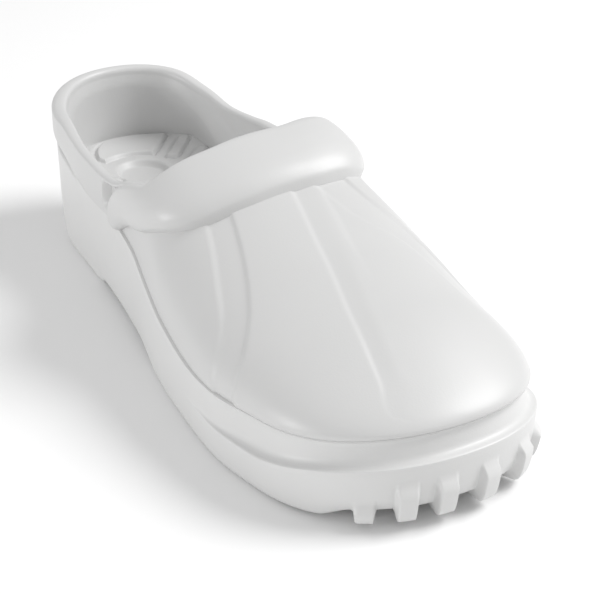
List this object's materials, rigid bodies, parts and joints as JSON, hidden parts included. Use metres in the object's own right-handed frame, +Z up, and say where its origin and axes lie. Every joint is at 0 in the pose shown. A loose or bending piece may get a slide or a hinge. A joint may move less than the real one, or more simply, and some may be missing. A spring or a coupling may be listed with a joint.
{
  "type": "clog",
  "caption": "Backless moulded foam clog for the right foot: closed toe, raised heel rim, padded instep band and ribbed toe of the sole.",
  "frame": {"origin": "centre of the bounding box at floor level, under the arch", "axes": "+X to the toe, +Y to the medial side of this right shoe, +Z up"},
  "size_m": [0.2942, 0.1092, 0.0888],
  "materials": {
    "foam_sole": "satin moulded foam, off white",
    "foam_upper": "satin moulded foam, off white",
    "foam_band": "satin moulded foam, off white",
    "foam_footbed": "matt moulded foam, off white"
  },
  "bodies": {
    "root": {"sole": "foam_sole", "upper": "foam_upper", "instep_band": "foam_band", "insole": "foam_footbed"}
  },
  "joints": []
}
